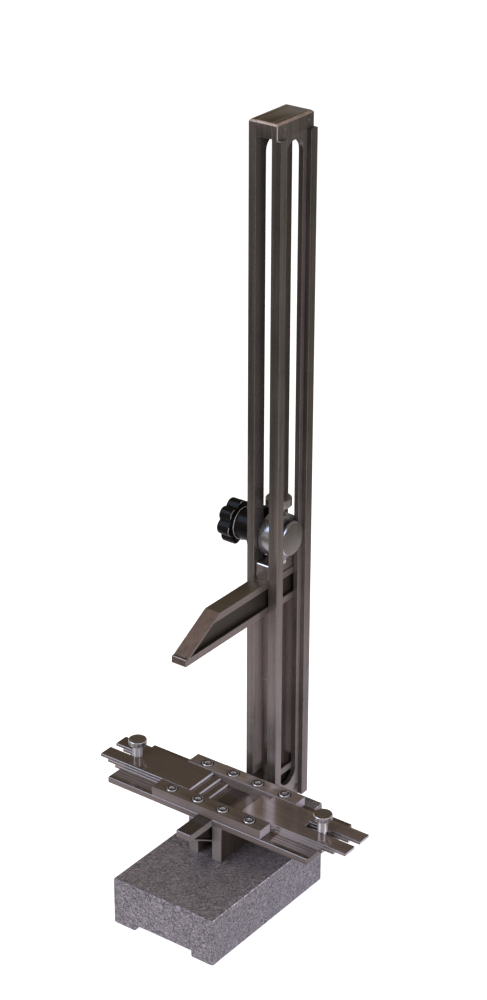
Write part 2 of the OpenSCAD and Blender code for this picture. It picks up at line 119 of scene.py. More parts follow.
class FixtureSizes(bpy.types.PropertyGroup):
    """Sizes of the edge breaks, the grain and the shaped parts of the knob."""

    edge_break: length_prop("Edge break", "Width of the broken edges of the ground pieces", 0.3)
    block_break: length_prop("Block edge break", "Width of the chamfers of the saddle block", 0.7)
    fine_break: length_prop("Fine edge break", "Width of the broken edges of screws and small pieces", 0.2)
    cast_round: length_prop("Casting edges", "Rounding of the painted casting's edges", 1.4)
    paint_cell: length_prop("Hammertone cell", "Size of the cells of the hammertone paint", 4.6)
    head_round: length_prop("Cap screw heads", "Rounding of the rims of the strip screws' heads", 0.9)
    grind_pitch: length_prop("Grinding pitch", "Distance between the fine lines that grinding leaves", 0.5)
    knob_reach: length_prop("Knob reach", "Radius of the star knob over its lobes", 20.8)
    knob_head: length_prop("Knob head", "Length of the lobed head of the knob", 14.0)
    knob_hub: length_prop("Knob hub", "Radius of the hub of the knob", 14.5)
    knob_lobe: length_prop("Knob lobe", "Radius of one lobe of the knob, seen along its axis", 7.0)
    knob_front: length_prop("Knob front rounding", "Rounding at the outer end of the lobed head", 2.4)
    knob_back: length_prop("Knob back rounding", "Rounding at the hub end of the lobed head", 0.9)
    thumb_head: length_prop("Thumb screw head", "Height of the head of a thumb screw", 7.5)
    thumb_collar: length_prop("Thumb screw collar", "Radius of the collar of a thumb screw", 4.8)
    thumb_shank: length_prop("Thumb screw shank", "Radius of the shank of a thumb screw", 3.5)
    press_head: length_prop("Pressing screw head", "Height of the head of the pressing screw", 8.4)
    press_neck: length_prop("Pressing screw neck", "Radius of the neck of the pressing screw", 5.0)
    press_shank: length_prop("Pressing screw shank", "Radius of the pressing screw in the barrel", 3.0)
    knob_lobes: IntProperty(
        name="Knob lobes", description="Number of lobes on the star knob", default=7, min=4, max=12
    )
    knob_turn: angle_prop("Knob turn", "Angle of the first lobe from the back", 85)
    turning_steps: IntProperty(
        name="Turning steps", description="Steps round each turned piece", default=96, min=24, max=256
    )


class FixtureColours(bpy.types.PropertyGroup):
    """Colours of the fixture's metals, paint and plastic."""

    bed_steel: colour_prop("Strip steel", "Ground steel of the front strip", (0.19, 0.152, 0.125))
    cheek_steel: colour_prop("Cheek steel", "Ground sides of the cheeks", (0.125, 0.098, 0.083))
    left_plates: colour_prop("Left plates", "Ground steel of the left steady plates", (0.185, 0.150, 0.128))
    right_plates: colour_prop(
        "Right plates", "Brighter steel of the right steady plates and the rear strip", (0.50, 0.41, 0.38)
    )
    bed_plates: colour_prop("Bed plates", "Ground steel of the two bed plates", (0.17, 0.138, 0.116))
    jaw_steel: colour_prop(
        "Jaw steel", "Ground steel of the jaws and the saddle block", (0.225, 0.190, 0.178)
    )
    # Painted shade: darker tops of the upper jaw and the column.
    jaw_top: colour_prop("Jaw top", "Tops of the upper jaw and the column, darkened as painted shade", (0.15, 0.122, 0.088))
    jaw_nose: colour_prop("Jaw nose", "Ground slope of the upper jaw", (0.31, 0.238, 0.215))
    thumb_rim: colour_prop("Thumb screw rims", "Knurled rims of the thumb screws", (0.30, 0.28, 0.27))
    # Painted shade: dark pockets of the jaws, walls of the strips' bores and tops of the strip screws.
    pocket_steel: colour_prop(
        "Jaw pockets", "Painted shade in the pockets of the jaws and the bores of the strips", (0.075, 0.062, 0.052)
    )
    column_steel: colour_prop("Column steel", "Ground steel of the column", (0.215, 0.187, 0.172))
    gauge_steel: colour_prop("Gauge steel", "Lapped steel of the slip gauges", (0.145, 0.115, 0.105))
    side_steel: colour_prop(
        "Bed sides", "Coarser ground sides of the bed plates and strips", (0.128, 0.105, 0.100)
    )
    jaw_side: colour_prop(
        "Cheek fronts", "Coarser ground fronts of the cheeks and sides of the lower jaw", (0.20, 0.18, 0.178)
    )
    # Painted shade: the inner faces darken above the jaw, through a fade in finish_rows.
    column_inner: colour_prop(
        "Column inside", "Inner faces of the column, with painted shade higher up", (0.50, 0.44, 0.42)
    )
    # Painted shade: the lower jaw's upper face is darker.
    jaw_face: colour_prop("Jaw face", "Upper face of the lower jaw, darkened as painted shade", (0.10, 0.082, 0.070))
    sawn_end: colour_prop("Plate ends", "Bright sawn ends of the plates and strips", (0.50, 0.46, 0.51))
    riser: colour_prop("Plate steps", "Bright inner ends of the left steady plates", (0.60, 0.58, 0.66))
    cap_edge: colour_prop("Cap edges", "Broken edges round the top of the column", (0.31, 0.245, 0.21))
    # Painted highlight: near white, for the saddle block's chamfers, the front corner of the column's head
    # and the grub screw.
    fresh_edge: colour_prop("Saddle edges", "Painted glint on the chamfers of the saddle block", (0.85, 0.82, 0.84))
    # Painted shade: darker tops of the thumb screws and the pressing screw.
    head_top: colour_prop(
        "Head tops", "Tops of the thumb screws and the pressing screw, darkened as painted shade", (0.26, 0.22, 0.19)
    )
    # The disc's flat face is darker than its rim.
    disc_face: colour_prop("Disc face", "Darker face of the clamp disc", (0.25, 0.23, 0.225))
    # Broken edges are lighter than the steel beside them: worn metal, and a painted highlight.
    edge_steel: colour_prop(
        "Broken edges", "Broken edges of the cheeks and the bed plates", (0.30, 0.27, 0.26)
    )
    column_edge: colour_prop(
        "Column edges", "Broken edges of the column, the jaws and the steady plates", (0.29, 0.26, 0.245)
    )
    turned_steel: colour_prop("Turned steel", "Barrel, clamp disc and pressing screw", (0.42, 0.41, 0.42))
    bright_steel: colour_prop(
        "Bright steel", "Heads of the strip screws and thumb screws", (0.72, 0.69, 0.71)
    )
    plain_steel: colour_prop("Plain steel", "Bolts and dowels", (0.20, 0.18, 0.17))
    paint: colour_prop("Hammertone paint", "Raised cells of the paint on the casting", (0.197, 0.181, 0.205))
    paint_low: colour_prop(
        "Paint between cells", "Low lines between the cells of the paint", (0.060, 0.054, 0.060)
    )
    black_oxide: colour_prop("Black oxide", "Clamp washer", (0.006, 0.006, 0.006))
    # Painted highlight: lighter plastic on the knob's rims and collar.
    worn_plastic: colour_prop("Worn plastic", "Painted highlights on the rims of the star knob", (0.17, 0.165, 0.16))
    black_plastic: colour_prop("Black plastic", "Star knob", (0.0035, 0.0033, 0.0033))


class FixtureStage(bpy.types.PropertyGroup):
    """Camera, lamps and floor."""

    azimuth: angle_prop("Azimuth", "Turn of the camera from the front", 36.43)
    elevation: angle_prop("Elevation", "Height of the camera as an angle", 26.17)
    roll: angle_prop("Roll", "Roll of the camera about its axis", 0.166)
    lens: FloatProperty(
        name="Lens", description="Focal length on a 36 mm long side", default=90.0, subtype="DISTANCE_CAMERA"
    )
    eye: FloatVectorProperty(
        name="Eye",
        description="Place of the camera",
        default=(1.15385, -1.54015, 1.3449),
        size=3,
        subtype="TRANSLATION",
    )
    floor_half: length_prop("Floor", "Half the side of the floor", 6000)
    pool_reach: length_prop("Pool reach", "Distance at which the reflected floor has gone dark", 1300)
    pool_stretch: FloatProperty(
        name="Pool stretch",
        description="How much longer the lit floor is towards the camera",
        default=1.6,
        min=1.0,
    )


def settings():
    """The three property groups on the scene."""
    scene = bpy.context.scene
    return scene.fixture_sizes, scene.fixture_colours, scene.fixture_stage


# Shader trees


class Tree:
    """Short calls for building one node tree."""

    def __init__(self, owner):
        owner.use_nodes = True
        self.owner = owner
        self.nodes = owner.node_tree.nodes
        self.links = owner.node_tree.links
        self.nodes.clear()

    def add(self, kind, **values):
        """A new node; values are set on its properties, or on its sockets where it has no such property."""
        node = self.nodes.new("ShaderNode" + kind)
        for name, value in values.items():
            if hasattr(node, name):
                setattr(node, name, value)
            else:
                node.inputs[name.replace("_", " ")].default_value = value
        return node

    def link(self, output, socket):
        self.links.new(output, socket)

    def feed(self, value, socket):
        """Links an output to a socket, or sets the socket to a plain number or vector."""
        if isinstance(value, bpy.types.NodeSocket):
            self.link(value, socket)
        else:
            socket.default_value = value

    def math(self, operation, first, second=0.0):
        """A Math node; each operand is a number or an output."""
        node = self.add("Math", operation=operation)
        self.feed(first, node.inputs[0])
        self.feed(second, node.inputs[1])
        return node.outputs[0]

    def vector(self, operation, first, second=None):
        """A Vector Math node; each operand is an output, a vector or, to scale by, a number."""
        node = self.add("VectorMath", operation=operation)
        self.feed(first, node.inputs[0])
        if second is not None:
            self.feed(second, node.inputs["Scale" if operation == "SCALE" else 1])
        return node.outputs["Value" if operation in ("LENGTH", "DOT_PRODUCT") else "Vector"]

    def parts(self, vector):
        """The outputs X, Y and Z of a vector."""
        node = self.add("SeparateXYZ")
        self.link(vector, node.inputs[0])
        return node.outputs

    def mapped(self, scale):
        """Object coordinates stretched by scale: features per metre, for all axes or for each."""
        if isinstance(scale, (int, float)):
            scale = (scale, scale, scale)
        place = self.add("TexCoord")
        mapping = self.add("Mapping", Scale=scale)
        self.link(place.outputs["Object"], mapping.inputs["Vector"])
        return mapping.outputs["Vector"]

    def noise(self, vector, detail=3.0, roughness=0.55, distortion=0.0, scale=1.0):
        node = self.add("TexNoise", Scale=scale, Detail=detail, Roughness=roughness, Distortion=distortion)
        self.link(vector, node.inputs["Vector"])
        return node.outputs[0]

    def ramp(self, factor, stops):
        """A colour ramp; stops are pairs of place and colour."""
        node = self.add("ValToRGB")
        elements = node.color_ramp.elements
        while len(elements) > 1:
            elements.remove(elements[-1])
        for index, (place, colour) in enumerate(stops):
            element = elements[0] if index == 0 else elements.new(place)
            element.position = place
            element.color = (*colour, 1.0)
        self.link(factor, node.inputs["Fac"])
        return node.outputs["Color"]

    def greys(self, factor, *stops):
        """A colour ramp of greys; stops are pairs of place and brightness."""
        return self.ramp(factor, [(place, grey(value)) for place, value in stops])

    def spread(self, value, low, high, to_low=0.0, to_high=1.0):
        """value from low..high mapped to to_low..to_high, and held there."""
        node = self.add("MapRange", clamp=True, From_Min=low, From_Max=high, To_Min=to_low, To_Max=to_high)
        self.link(value, node.inputs["Value"])
        return node.outputs["Result"]

    def multiply(self, first, second):
        """The product of two colours."""
        node = self.add("Mix", data_type="RGBA", blend_type="MULTIPLY")
        node.inputs["Factor"].default_value = 1.0
        self.link(first, node.inputs[6])
        self.link(second, node.inputs[7])
        return node.outputs[2]

    def roughness(self, noise, rough):
        """A roughness that follows a noise between the least and the most of rough."""
        return self.spread(noise, *NOISE_RANGE, *rough)

    def bump(self, height, distance, strength=1.0):
        node = self.add("Bump", Strength=strength, Distance=distance)
        self.link(height, node.inputs["Height"])
        return node.outputs["Normal"]

    def mixed(self, factor, first, second):
        """A Mix Shader of two shaders."""
        node = self.add("MixShader")
        for output, socket in zip((factor, first, second), node.inputs):
            self.link(output, socket)
        return node.outputs[0]

    def finish(self, shader, kind="Material"):
        output = self.add("Output" + kind)
        self.link(shader, output.inputs["Surface"])

    def surface(self, tone, rough, normal, **values):
        """The owner with a Principled shader; values are set on the shader's sockets."""
        shader = self.add("BsdfPrincipled", **values)
        for output, name in ((tone, "Base Color"), (rough, "Roughness"), (normal, "Normal")):
            self.link(output, shader.inputs[name])
        self.finish(shader.outputs["BSDF"])
        return self.owner


def grey(value):
    return (value, value, value)


def shade(colour, factor):
    return tuple(min(1.0, channel * factor) for channel in colour)


def along(axis, across, lengthwise):
    """Scales that are lengthwise along one axis and across on the other two."""
    return [lengthwise if name == axis else across for name in "XYZ"]


# A change of tone along an axis: the places in metres where it starts and ends, and the tones there
Fade = namedtuple("Fade", "axis start end start_tone end_tone")

# Least and most roughness of the finishes
POLISHED = (0.08, 0.18)
GROUND = (0.24, 0.40)
COARSE = (0.35, 0.5)
SAWN = (0.45, 0.6)

# Grain of the finishes: marks per metre, or pairs of marks per metre round an axis and along it
CLOUDS = 16
CAST_WAVES = 28
HAZE = 70
DUST = 90
EDGE_MARKS = 420
RINGS = (60, 2400)
KNURL = (1100, 60)
LINE_LENGTH = 60  # length of a grinding line, in line widths
BAND_LINES = 7  # grinding lines beside each other in a band
BANDS_ALONG = 5.0  # bands behind each other in a metre
NOISE_RANGE = (0.3, 0.7)  # where nearly all of a noise lies

BAND_CONTRAST = 0.16  # how far the bands of ground steel are from its mean tone
BARE_METAL = 0.82
DULL_METAL = 0.35  # metal under a film of grease and dirt


def ground_metal(name, colour, axis, rough=GROUND, contrast=BAND_CONTRAST, metallic=BARE_METAL, fade=None):
    """Ground steel: fine lines along axis, broader bands, and faint clouds of tarnish."""
    tree = Tree(bpy.data.materials.new(name))
    lines = 1.0 / settings()[0].grind_pitch
    fine = tree.noise(tree.mapped(along(axis, lines, lines / LINE_LENGTH)), detail=2.0)
    bands = tree.noise(tree.mapped(along(axis, lines / BAND_LINES, BANDS_ALONG)), detail=4.0, roughness=0.6)
    clouds = tree.noise(tree.mapped(CLOUDS), detail=5.0, roughness=0.6, distortion=0.6)
    band_tone = tree.greys(bands, (0.3, 1 - contrast), (0.5, 1.0), (0.7, 1 + contrast))
    light = (colour[0] * 1.10, colour[1] * 1.09, colour[2] * 1.1)
    cloud_tone = tree.ramp(clouds, [(0.32, shade(colour, 0.82)), (0.5, colour), (0.66, light)])
    tone = tree.multiply(band_tone, cloud_tone)
    # Some finishes use the fade for painted shade or a painted reflection.
    if fade:
        place = tree.parts(tree.mapped(1))[fade.axis]
        faded = tree.spread(place, fade.start, fade.end)
        tone = tree.multiply(tone, tree.greys(faded, (0.0, fade.start_tone), (1.0, fade.end_tone)))
    worn = tree.math("ADD", tree.math("MULTIPLY", fine, 0.6), tree.math("MULTIPLY", bands, 0.4))
    normal = tree.bump(fine, 0.02 * MM, 0.8)
    return tree.surface(tone, tree.roughness(worn, rough), normal, Metallic=metallic)


def edge_wear_and_highlight(name, tone, metallic=0.85):
    """The brighter line where a ground edge has been broken with a stone, made lighter still as a painted
    highlight.
    """
    tree = Tree(bpy.data.materials.new(name))
    marks = tree.noise(tree.mapped(EDGE_MARKS), detail=3.0)
    marked = tree.ramp(marks, [(0.3, shade(tone, 0.6)), (0.65, tone)])
    rough = tree.roughness(marks, (0.26, 0.46))
    return tree.surface(marked, rough, tree.bump(marks, 0.03 * MM), Metallic=metallic)


def turned_metal(name, colour, axis, rough=(0.2, 0.34), metallic=0.88, knurl=False):
    """Turned steel: fine rings round axis and a light haze; knurl makes marks along the axis instead."""
    tree = Tree(bpy.data.materials.new(name))
    marks = tree.noise(tree.mapped(along(axis, *(KNURL if knurl else RINGS))), detail=2.0)
    haze = tree.noise(tree.mapped(HAZE), detail=4.0, distortion=0.4)
    tone = tree.ramp(haze, [(0.3, shade(colour, 0.86)), (0.55, colour), (0.7, shade(colour, 1.08))])
    if knurl:
        tone = tree.multiply(tone, tree.greys(marks, (0.42, 0.45), (0.58, 1.25)))
    normal = tree.bump(marks, (0.12 if knurl else 0.012) * MM, 0.7)
    return tree.surface(tone, tree.roughness(haze, rough), normal, Metallic=metallic)


def hammertone(name, high):
    """Hammertone paint: metallic ripples with painted shading as if lit from one side, and pores and dark
    creases between them.
    """
    sizes, colours, _ = settings()
    tree = Tree(bpy.data.materials.new(name))
    place = tree.mapped(1.0 / sizes.paint_cell)
    ripple = {"detail": 1.6, "roughness": 0.5, "distortion": 0.9, "scale": 1.8}
    ripples = tree.noise(place, **ripple)
    # Painted shade and highlight: the ripples are lightened on slopes that face to_light and darkened on the
    # others.
    to_light = (0.08, -0.11, 0.13)
    next_ripples = tree.noise(tree.vector("ADD", place, to_light), **ripple)
    slope = tree.spread(tree.math("SUBTRACT", next_ripples, ripples), -0.12, 0.12)
    folds = tree.noise(place, detail=1.2, roughness=0.5, distortion=1.2, scale=1.15)
    bulge = tree.spread(tree.math("ABSOLUTE", tree.math("SUBTRACT", folds, 0.5)), 0.0, 0.05)
    pores = tree.noise(place, detail=3.0, roughness=0.6, scale=3.2)
    height = tree.math("ADD", tree.math("MULTIPLY", bulge, 0.62), tree.math("MULTIPLY", pores, 0.42))
    waves = tree.noise(tree.mapped(CAST_WAVES), detail=2.0)
    tone = tree.ramp(
        height, [(0.22, colours.paint_low), (0.46, shade(high, 0.78)), (0.8, high), (1.0, shade(high, 1.25))]
    )
    painted_relief_shading = tree.greys(slope, (0.1, 0.56), (0.42, 0.9), (0.62, 1.03), (0.9, 1.38))
    cast = tree.greys(waves, (0.3, 0.93), (0.7, 1.0))
    relief = tree.math("ADD", height, tree.math("MULTIPLY", waves, 1.2))
    return tree.surface(
        tree.multiply(tree.multiply(tone, painted_relief_shading), cast),
        tree.spread(height, 0.3, 0.9, 0.5, 0.32),
        tree.bump(relief, 1.5 * MM),
        Metallic=0.3,
        Coat_Weight=0.25,
        Coat_Roughness=0.22,
    )


def black_finish(name, colour, rough, orange_peel, specular=0.5):
    """Black plastic or black oxide: a slight unevenness in gloss and surface, orange_peel marks per metre."""
    tree = Tree(bpy.data.materials.new(name))
    peel = tree.noise(tree.mapped(orange_peel), detail=3.0)
    dust = tree.noise(tree.mapped(DUST), detail=5.0, roughness=0.7)
    tone = tree.ramp(dust, [(0.35, colour), (0.75, shade(colour, 2.2))])
    normal = tree.bump(peel, 0.02 * MM, 0.6)
    return tree.surface(tone, tree.roughness(dust, rough), normal, Metallic=0.0, Specular_IOR_Level=specular)


def finish_rows(colours):
    """Each finish by its name: the maker, the colour and what else the maker takes."""
    # Painted shade behind the jaw: the column's inner faces darken upwards from 0.23 m to 0.32 m.
    painted_shade_above = Fade("Z", 0.23, 0.32, 1.0, 0.22)
    relief_low = Fade("Z", 0.23, 0.32, 0.52, 0.26)
    dark_ends = Fade("X", 0.03, 0.10, 1.15, 0.54)
    bright_right = Fade("X", -0.05, 0.02, 0.55, 1.0)
    dark_rear = Fade("Y", 0.07, 0.095, 1.0, 0.8)
    # Painted reflection: the column's front faces are darker higher up, where ground steel reflects the dark
    # room rather than the floor.
    front_painted_reflection = Fade("Z", 0.33, 0.43, 0.95, 0.56)
    steel = BAND_CONTRAST, BARE_METAL
    makers = {
        ground_metal: {
            "bed_steel": (colours.bed_steel, "X"),
            "bed_plates": (colours.bed_plates, "X", POLISHED),
            "left_plates": (colours.left_plates, "X", (0.08, 0.17)),
            "right_plates": (colours.right_plates, "X", POLISHED, *steel, dark_ends),
            "right_bottom": (shade(colours.right_plates, 0.52), "X", POLISHED),
            "rear_strip_steel": (colours.right_plates, "X", GROUND, *steel, bright_right),
            "side_steel": (colours.side_steel, "X", COARSE, 0.14, DULL_METAL),
            "riser": (colours.riser, "Y", (0.4, 0.5), 0.2, 0.15),
            "sawn_end": (colours.sawn_end, "Y", SAWN, 0.12, 0.5),
            "cheek_steel": (colours.cheek_steel, "Z"),
            "jaw_steel": (colours.jaw_steel, "Y"),
            "jaw_top": (colours.jaw_top, "Y"),
            "jaw_nose": (colours.jaw_nose, "Y"),
            "jaw_face": (colours.jaw_face, "Y", (0.1, 0.2)),
            "jaw_side": (colours.jaw_side, "Y", COARSE, 0.14, DULL_METAL),
            "pocket_steel": (colours.pocket_steel, "Y", SAWN),
            "column_steel": (colours.column_steel, "Z", (0.24, 0.36), 0.2, BARE_METAL, dark_rear),
            "column_front": (colours.column_steel, "Z", (0.24, 0.36), 0.2, BARE_METAL, front_painted_reflection),
            "column_inner": (colours.column_inner, "Z", (0.09, 0.18), BAND_CONTRAST, 0.7, painted_shade_above),
            "relief_steel": (colours.column_inner, "Z", (0.3, 0.45), BAND_CONTRAST, 0.6, relief_low),
            "gauge_steel": (colours.gauge_steel, "Z", (0.16, 0.26), 0.08),
        },
        edge_wear_and_highlight: {
            "edge": (colours.edge_steel,),
            "column_edge": (colours.column_edge,),
            "dull_edge": (shade(colours.column_edge, 0.5),),
            "cap_edge": (colours.cap_edge, 0.3),
            "fresh_edge": (colours.fresh_edge, 0.6),
        },
        turned_metal: {
            "barrel_steel": (colours.turned_steel, "X", (0.19, 0.3)),
            "disc_face": (colours.disc_face, "X"),
            "screw_steel": (colours.turned_steel, "Z"),
            "head_top": (colours.head_top, "Z"),
            "bright_steel": (colours.bright_steel, "Z", (0.10, 0.2), 0.72),
            "thumb_rim": (colours.thumb_rim, "Z", (0.2, 0.32), 0.85, True),
            "plain_steel": (colours.plain_steel, "Z", (0.3, 0.45)),
        },
        hammertone: {
            "hammertone_paint": (colours.paint,),
            # painted highlight along the casting's edges between its top and its right side
            "paint_edge": (shade(colours.paint, 3.2),),
        },
        black_finish: {
            "black_oxide": (colours.black_oxide, COARSE, 1500),
            "black_plastic": (colours.black_plastic, (0.09, 0.2), 500, 0.06),
            "worn_plastic": (colours.worn_plastic, (0.2, 0.35), 900),
        },
    }
    return {name: (maker, *values) for maker, rows in makers.items() for name, values in rows.items()}


FINISHES = {}


def finish_named(name):
    """The material of that name, made at its first use."""
    if name not in FINISHES:
        maker, *values = finish_rows(settings()[1])[name]
        FINISHES[name] = maker(name, *values)
    return FINISHES[name]


# Shapes


def body_of_node(node):
    """The CAD body that a node rides on."""
    return frame["nodes"][node]["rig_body"]


def placed(name, data):
    """A new object in the scene."""
    item = bpy.data.objects.new(name, data)
    bpy.context.scene.collection.objects.link(item)
    return item


def show(mesh, node, *finishes):
    """Puts a mesh in the scene, in the named finishes, as the piece that stands for a CAD node."""
    for finish in finishes:
        mesh.materials.append(finish_named(finish))
    piece = placed(mesh.name, mesh)
    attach(piece, body_of_node(node))
    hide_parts(node)
    return piece


def welded(node):
    """A clean bmesh of a CAD node: one vertex per corner, and flat faces joined."""
    source = frame["nodes"][node].data
    shape = bmesh.new()
    corners = [shape.verts.new(vertex.co) for vertex in source.vertices]
    for polygon in source.polygons:
        if len(set(polygon.vertices)) == len(polygon.vertices):
            shape.faces.new([corners[index] for index in polygon.vertices])
    bmesh.ops.remove_doubles(shape, verts=shape.verts, dist=WELD_DISTANCE)
    bmesh.ops.dissolve_limit(shape, angle_limit=FLAT_ANGLE, verts=shape.verts, edges=shape.edges)
    bmesh.ops.recalc_face_normals(shape, faces=shape.faces)
    return shape


def bevel(shape, edges, width, steps, material=-1, clamp=False):
    """Bevels edges; the new faces get the material of that index, or their neighbours' at -1."""
    bmesh.ops.bevel(
        shape, geom=edges, offset=width, offset_type="OFFSET", segments=steps, profile=0.5, affect="EDGES",
        clamp_overlap=clamp, material=material, loop_slide=True,
    )


def break_edges(shape, width, steps, spared=None):
    """Breaks the outward edges of a shape but the spared ones; a flat break gets the second material."""
    outward = [
        edge
        for edge in shape.edges
        if len(edge.link_faces) == 2
        and edge.is_convex
        and edge.calc_face_angle(0.0) > SHARP_ANGLE
        and not (spared and spared(edge))
    ]
    bevel(shape, outward, width, steps, material=1 if steps == 1 else -1)


def as_mesh(shape, name, angle=SHARP_ANGLE):
    """The finished mesh of a shape, smooth but for its sharp edges."""
    mesh = bpy.data.meshes.new(name)
    shape.to_mesh(mesh)
    shape.free()
    for polygon in mesh.polygons:
        polygon.use_smooth = True
    mesh.set_sharp_from_angle(angle=angle)
    return mesh


def dressed(node, finish, width, steps=1, edge="edge", spared=None):
    """A CAD node with its edges broken, in the named finish."""
    shape = welded(node)
    break_edges(shape, width, steps, spared)
    finishes = [finish, edge] if steps == 1 else [finish]
    return show(as_mesh(shape, node + "_finished"), node, *finishes)


def refinish(piece, finish, chosen):
    """Gives the faces that chosen picks another finish."""
    mesh = piece.data
    mesh.materials.append(finish_named(finish))
    index = len(mesh.materials) - 1
    for polygon in mesh.polygons:
        if chosen(polygon):
            polygon.material_index = index


def faces_along_x(polygon):
    return abs(polygon.normal.x) > SQUARE_ON


def faces_along_y(polygon):
    return abs(polygon.normal.y) > SQUARE_ON


def faces_front(polygon):
    return polygon.normal.y < -SQUARE_ON


def faces_up(polygon):
    return polygon.normal.z > SQUARE_ON


def faces_level(polygon):
    return abs(polygon.normal.z) < 0.1


def turned(name, profile, place, steps):
    """A turned, upright shape: profile is pairs of height and radius, and place is a point on the axis."""
    shape = bmesh.new()
    rings = []
    for height, radius in profile:
        if radius <= 0:
            rings.append([shape.verts.new((0, 0, height))])
            continue
        ring = []
        for step in range(steps):
            angle = 2 * math.pi * step / steps
            ring.append(shape.verts.new((radius * math.cos(angle), radius * math.sin(angle), height)))
        rings.append(ring)
    for low, high in zip(rings, rings[1:]):
        for step in range(steps):
            after = (step + 1) % steps
            around = ((low, step), (low, after), (high, after), (high, step))
            unique = list(dict.fromkeys(ring[number % len(ring)] for ring, number in around))
            if len(unique) > 2:
                shape.faces.new(unique)
    bmesh.ops.recalc_face_normals(shape, faces=shape.faces)
    bmesh.ops.transform(shape, matrix=Matrix.Translation(place), verts=shape.verts)
    return as_mesh(shape, name)


def rounded(corners, radius, steps=4):
    """A profile with each inner corner replaced by an arc of about that radius."""
    points = [Vector(corner) for corner in corners]
    result = [tuple(points[0])]
    for before, corner, after in zip(points, points[1:], points[2:]):
        reach = min(radius, (before - corner).length * 0.45, (after - corner).length * 0.45)
        start = corner + (before - corner).normalized() * reach
        end = corner + (after - corner).normalized() * reach
        for step in range(steps + 1):
            t = step / steps
            result.append(tuple(start * (1 - t) ** 2 + corner * 2 * t * (1 - t) + end * t**2))
    result.append(tuple(points[-1]))
    return result


# Operators


# Lamps for the painted and black surfaces: name, place, side of the square, power and tint
SOFTBOXES = (
    ("right_softbox", (1.9, -1.0, 0.75), 1.9, 60.0, (0.95, 0.95, 1.0)),
    ("front_softbox", (-0.9, -1.9, 1.1), 1.6, 40.0, (0.98, 0.97, 1.0)),
    ("top_softbox", (-0.6, -0.5, 2.6), 1.4, 19.0, (1.0, 0.80, 0.49)),
)
# Lamps that only metal reflects: direction, half angles in degrees of the soft and the full light, strength
REFLECTED_LAMPS = (((-0.50, -0.52, 0.69), 24, 9, 5.6), ((0.80, -0.26, 0.53), 13, 6, 5.4))
REFLECTED_TINT = (0.56, 0.70, 1.0)
# The room that metal reflects, from below the horizon to overhead
ROOM_TONES = [
    (0.05, (0.24, 0.23, 0.21)), (0.13, (0.46, 0.45, 0.45)), (0.30, (0.32, 0.295, 0.26)),
    (0.5, (0.185, 0.160, 0.133)), (0.7, (0.17, 0.145, 0.13)), (1.0, (0.15, 0.13, 0.12)),
]
ROOM_FILL = (0.34, 0.30, 0.26)  # light of the room on the painted and black surfaces
# The floor that metal reflects, from the fixture outwards
POOL_TONES = [
    (0.24, (1.00, 0.95, 1.10)), (0.33, (0.84, 0.79, 0.86)), (0.42, (0.72, 0.67, 0.68)),
    (0.50, (0.50, 0.47, 0.45)), (0.56, (0.25, 0.23, 0.19)), (0.63, (0.19, 0.175, 0.14)),
    (1.0, (0.15, 0.14, 0.112)),
]
DARK_SIDE = (0.533, -0.722, 0.30)  # direction in which the room is darker


